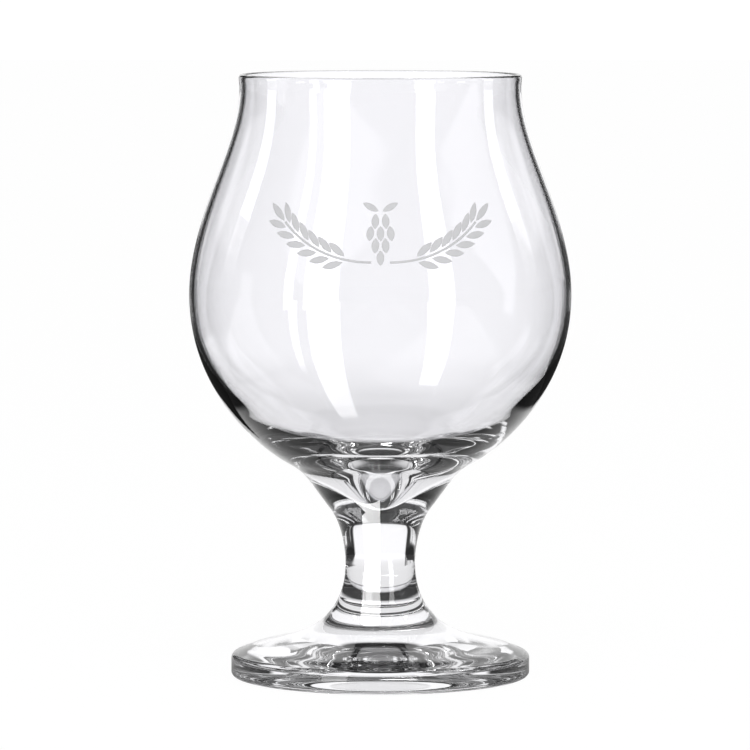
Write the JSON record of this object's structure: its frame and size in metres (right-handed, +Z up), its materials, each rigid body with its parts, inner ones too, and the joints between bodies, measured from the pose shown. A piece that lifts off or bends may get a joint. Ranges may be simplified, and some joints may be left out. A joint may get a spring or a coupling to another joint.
{
  "type": "chalice beer glass",
  "caption": "Footed tulip-shaped beer glass: thin round-bellied bowl drawn in to a narrow lip, short waisted stem, wide round foot and a frosted grain ornament.",
  "frame": {"origin": "on the axis of the glass, in the plane that the foot stands on", "axes": "+Z up along the axis of the glass to the lip, -Y towards the ornament, +X to the right seen from the ornament's side"},
  "size_m": [0.0984, 0.0984, 0.1555],
  "materials": {
    "clear_glass": "polished",
    "fired_frost": "satin"
  },
  "bodies": {
    "root": {"bowl": "clear_glass", "stem": "clear_glass", "foot": "clear_glass", "ornament": "fired_frost"}
  },
  "joints": []
}
